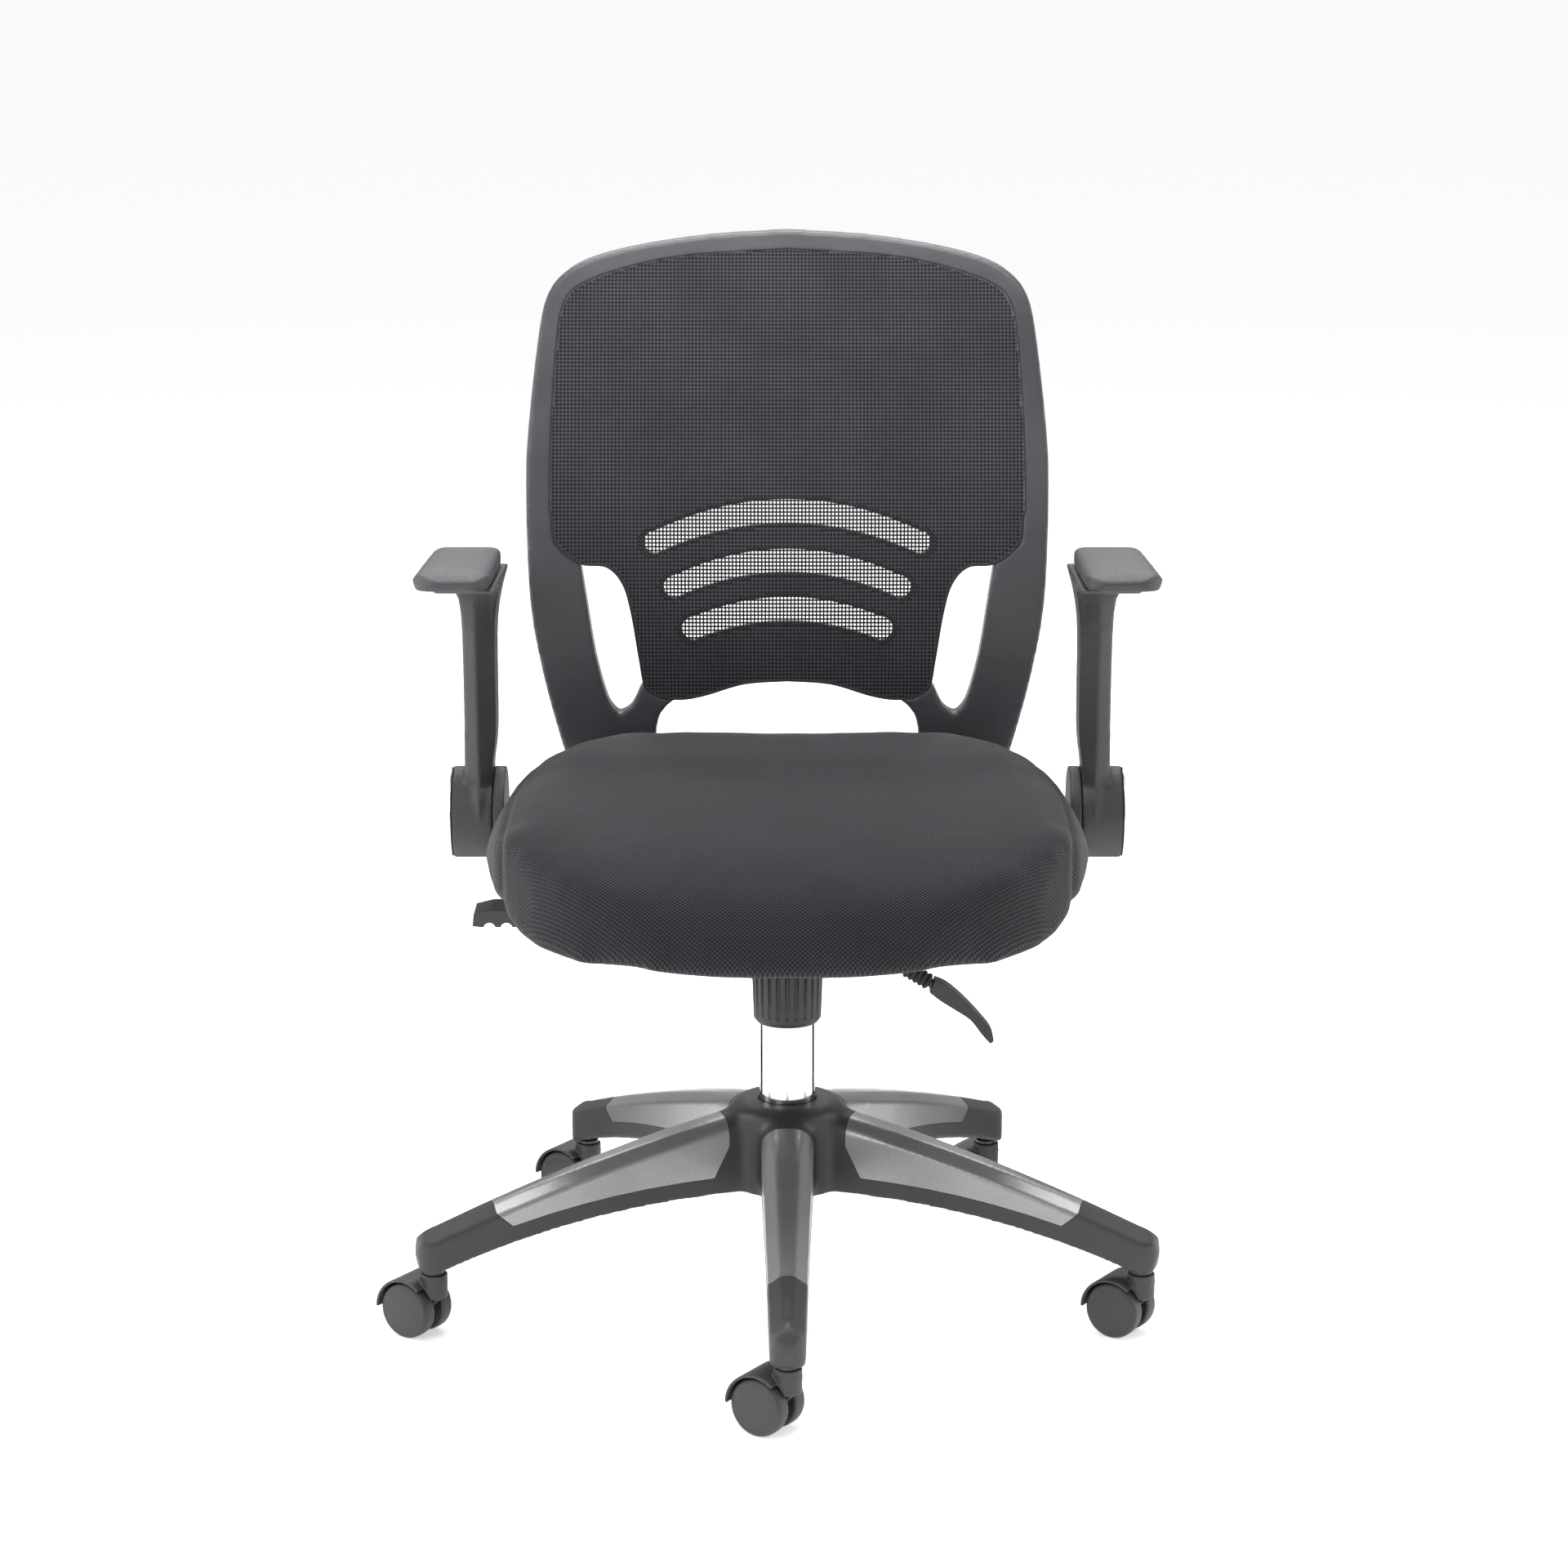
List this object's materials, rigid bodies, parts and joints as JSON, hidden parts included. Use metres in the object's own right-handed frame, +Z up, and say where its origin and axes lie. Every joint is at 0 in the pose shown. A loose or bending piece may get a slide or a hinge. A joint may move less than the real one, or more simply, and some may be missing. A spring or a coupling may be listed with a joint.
{
  "type": "swivel office chair",
  "caption": "Mesh-back swivel office chair with padded seat, fold-back arms, gas lift, tilt mechanism and star base on twin-wheel casters.",
  "frame": {"origin": "on the floor, on the swivel axis", "axes": "+X to the right as seen from the front of the chair, +Y towards its back, +Z up"},
  "size_m": [0.6865, 0.6522, 0.928],
  "materials": {
    "nylon_black": "fine moulded grain, semi-matt",
    "silver_cover": "satin silver paint on moulded covers",
    "chrome": "polished",
    "steel": "zinc plated or machined",
    "black_steel": "black powder coat",
    "wheel_plastic": "smooth moulded nylon",
    "sleeve_plastic": "smooth moulded",
    "rubber": "matt",
    "plywood": "raw birch plywood",
    "cushion_fabric": "air-mesh knit over foam",
    "back_mesh": "open polyester mesh",
    "arm_plastic": "leather-grain moulding",
    "pad_plastic": "grained polyurethane"
  },
  "bodies": {
    "base": {"base_star": "nylon_black", "base_inlays": "silver_cover", "caster_stems": "steel", "column_tube": "chrome", "column_guide": "nylon_black"},
    "caster_1": {"caster_hood_1": "nylon_black", "caster_axle_1": "steel"},
    "wheel_l_1": {"wheel_left_1": "wheel_plastic"},
    "wheel_r_1": {"wheel_right_1": "wheel_plastic"},
    "caster_2": {"caster_hood_2": "nylon_black", "caster_axle_2": "steel"},
    "wheel_l_2": {"wheel_left_2": "wheel_plastic"},
    "wheel_r_2": {"wheel_right_2": "wheel_plastic"},
    "caster_3": {"caster_hood_3": "nylon_black", "caster_axle_3": "steel"},
    "wheel_l_3": {"wheel_left_3": "wheel_plastic"},
    "wheel_r_3": {"wheel_right_3": "wheel_plastic"},
    "caster_4": {"caster_hood_4": "nylon_black", "caster_axle_4": "steel"},
    "wheel_l_4": {"wheel_left_4": "wheel_plastic"},
    "wheel_r_4": {"wheel_right_4": "wheel_plastic"},
    "caster_5": {"caster_hood_5": "nylon_black", "caster_axle_5": "steel"},
    "wheel_l_5": {"wheel_left_5": "wheel_plastic"},
    "wheel_r_5": {"wheel_right_5": "wheel_plastic"},
    "rod": {"piston_rod": "steel", "thrust_bearing": "steel"},
    "lift": {"gas_cylinder": "black_steel", "column_sleeve": "sleeve_plastic", "mech_housing": "black_steel", "tilt_axle": "steel", "lever_pins": "steel", "tilt_spring": "steel"},
    "valve": {"valve_button": "rubber"},
    "height_lever": {"height_lever_rod": "steel", "height_paddle": "nylon_black"},
    "lock_lever": {"lock_lever_rod": "steel", "lock_bellows": "rubber", "lock_paddle": "nylon_black"},
    "knob": {"tension_knob": "nylon_black"},
    "seat": {"seat_plate": "black_steel", "seat_under_cover": "nylon_black", "seat_board": "plywood", "seat_cushion": "cushion_fabric", "seat_bolts": "steel", "tension_bolt": "steel", "back_frame": "nylon_black", "back_panel": "nylon_black", "back_mesh": "back_mesh", "back_bolts": "steel", "arm_mount_left": "arm_plastic", "arm_mount_right": "arm_plastic", "arm_pivot_bolts": "steel"},
    "arm_l": {"arm_left": "arm_plastic", "arm_pad_left": "pad_plastic", "arm_cap_left": "silver_cover"},
    "arm_r": {"arm_right": "arm_plastic", "arm_pad_right": "pad_plastic", "arm_cap_right": "silver_cover"}
  },
  "joints": [
    {"name": "caster_swivel_1", "type": "hinge", "parent": "base", "child": "caster_1", "pos_m": [0, -0.325, 0.05], "axis": [0, 0, 1], "continuous": true},
    {"name": "wheel_l_roll_1", "type": "hinge", "parent": "caster_1", "child": "wheel_l_1", "pos_m": [-0.01635, -0.31438, 0.025], "axis": [-0.5446, -0.8387, 0], "continuous": true},
    {"name": "wheel_r_roll_1", "type": "hinge", "parent": "caster_1", "child": "wheel_r_1", "pos_m": [-0.01635, -0.31438, 0.025], "axis": [-0.5446, -0.8387, 0], "continuous": true},
    {"name": "caster_swivel_2", "type": "hinge", "parent": "base", "child": "caster_2", "pos_m": [0.30909, -0.10043, 0.05], "axis": [0, 0, 1], "continuous": true},
    {"name": "wheel_l_roll_2", "type": "hinge", "parent": "caster_2", "child": "wheel_l_2", "pos_m": [0.29274, -0.08981, 0.025], "axis": [-0.5446, -0.8387, 0], "continuous": true},
    {"name": "wheel_r_roll_2", "type": "hinge", "parent": "caster_2", "child": "wheel_r_2", "pos_m": [0.29274, -0.08981, 0.025], "axis": [-0.5446, -0.8387, 0], "continuous": true},
    {"name": "caster_swivel_3", "type": "hinge", "parent": "base", "child": "caster_3", "pos_m": [0.19103, 0.26293, 0.05], "axis": [0, 0, 1], "continuous": true},
    {"name": "wheel_l_roll_3", "type": "hinge", "parent": "caster_3", "child": "wheel_l_3", "pos_m": [0.17468, 0.27355, 0.025], "axis": [-0.5446, -0.8387, 0], "continuous": true},
    {"name": "wheel_r_roll_3", "type": "hinge", "parent": "caster_3", "child": "wheel_r_3", "pos_m": [0.17468, 0.27355, 0.025], "axis": [-0.5446, -0.8387, 0], "continuous": true},
    {"name": "caster_swivel_4", "type": "hinge", "parent": "base", "child": "caster_4", "pos_m": [-0.19103, 0.26293, 0.05], "axis": [0, 0, 1], "continuous": true},
    {"name": "wheel_l_roll_4", "type": "hinge", "parent": "caster_4", "child": "wheel_l_4", "pos_m": [-0.20738, 0.27355, 0.025], "axis": [-0.5446, -0.8387, 0], "continuous": true},
    {"name": "wheel_r_roll_4", "type": "hinge", "parent": "caster_4", "child": "wheel_r_4", "pos_m": [-0.20738, 0.27355, 0.025], "axis": [-0.5446, -0.8387, 0], "continuous": true},
    {"name": "caster_swivel_5", "type": "hinge", "parent": "base", "child": "caster_5", "pos_m": [-0.30909, -0.10043, 0.05], "axis": [0, 0, 1], "continuous": true},
    {"name": "wheel_l_roll_5", "type": "hinge", "parent": "caster_5", "child": "wheel_l_5", "pos_m": [-0.32545, -0.08981, 0.025], "axis": [-0.5446, -0.8387, 0], "continuous": true},
    {"name": "wheel_r_roll_5", "type": "hinge", "parent": "caster_5", "child": "wheel_r_5", "pos_m": [-0.32545, -0.08981, 0.025], "axis": [-0.5446, -0.8387, 0], "continuous": true},
    {"name": "seat_swivel", "type": "hinge", "parent": "base", "child": "rod", "pos_m": [0, 0, 0.1], "axis": [0, 0, 1], "continuous": true},
    {"name": "seat_height", "type": "slide", "parent": "rod", "child": "lift", "axis": [0, 0, 1], "range_m": [0, 0.1]},
    {"name": "valve_press", "type": "slide", "parent": "lift", "child": "valve", "axis": [0, 0, -1], "range_m": [0, 0.0032], "stiffness_N_per_m": 400},
    {"name": "height_lever_lift", "type": "hinge", "parent": "lift", "child": "height_lever", "pos_m": [-0.05, 0, 0.362], "axis": [0, 1, 0], "range_deg": [0, 3], "stiffness_Nm_per_rad": 4, "springref_deg": -11.46},
    {"name": "lock_lever_lift", "type": "hinge", "parent": "lift", "child": "lock_lever", "pos_m": [0.046, 0.018, 0.337], "axis": [0, -1, 0], "range_deg": [0, 12]},
    {"name": "seat_tilt", "type": "hinge", "parent": "lift", "child": "seat", "pos_m": [0, -0.04, 0.372], "axis": [-1, 0, 0], "range_deg": [0, 12], "stiffness_Nm_per_rad": 120, "springref_deg": -14.32, "deforming": ["tilt_spring"]},
    {"name": "tension_turn", "type": "hinge", "parent": "seat", "child": "knob", "pos_m": [0, -0.088, 0.336], "axis": [0, 0, 1], "range_deg": [0, 720]},
    {"name": "arm_left_fold", "type": "hinge", "parent": "seat", "child": "arm_l", "pos_m": [-0.28, 0.088, 0.428], "axis": [-1, 0, 0], "range_deg": [0, 90]},
    {"name": "arm_right_fold", "type": "hinge", "parent": "seat", "child": "arm_r", "pos_m": [0.28, 0.088, 0.428], "axis": [-1, 0, 0], "range_deg": [0, 90]}
  ],
  "couplings": [
    {"joint": "valve_press", "follows": "height_lever_lift", "m_per_rad": 0.055}
  ]
}
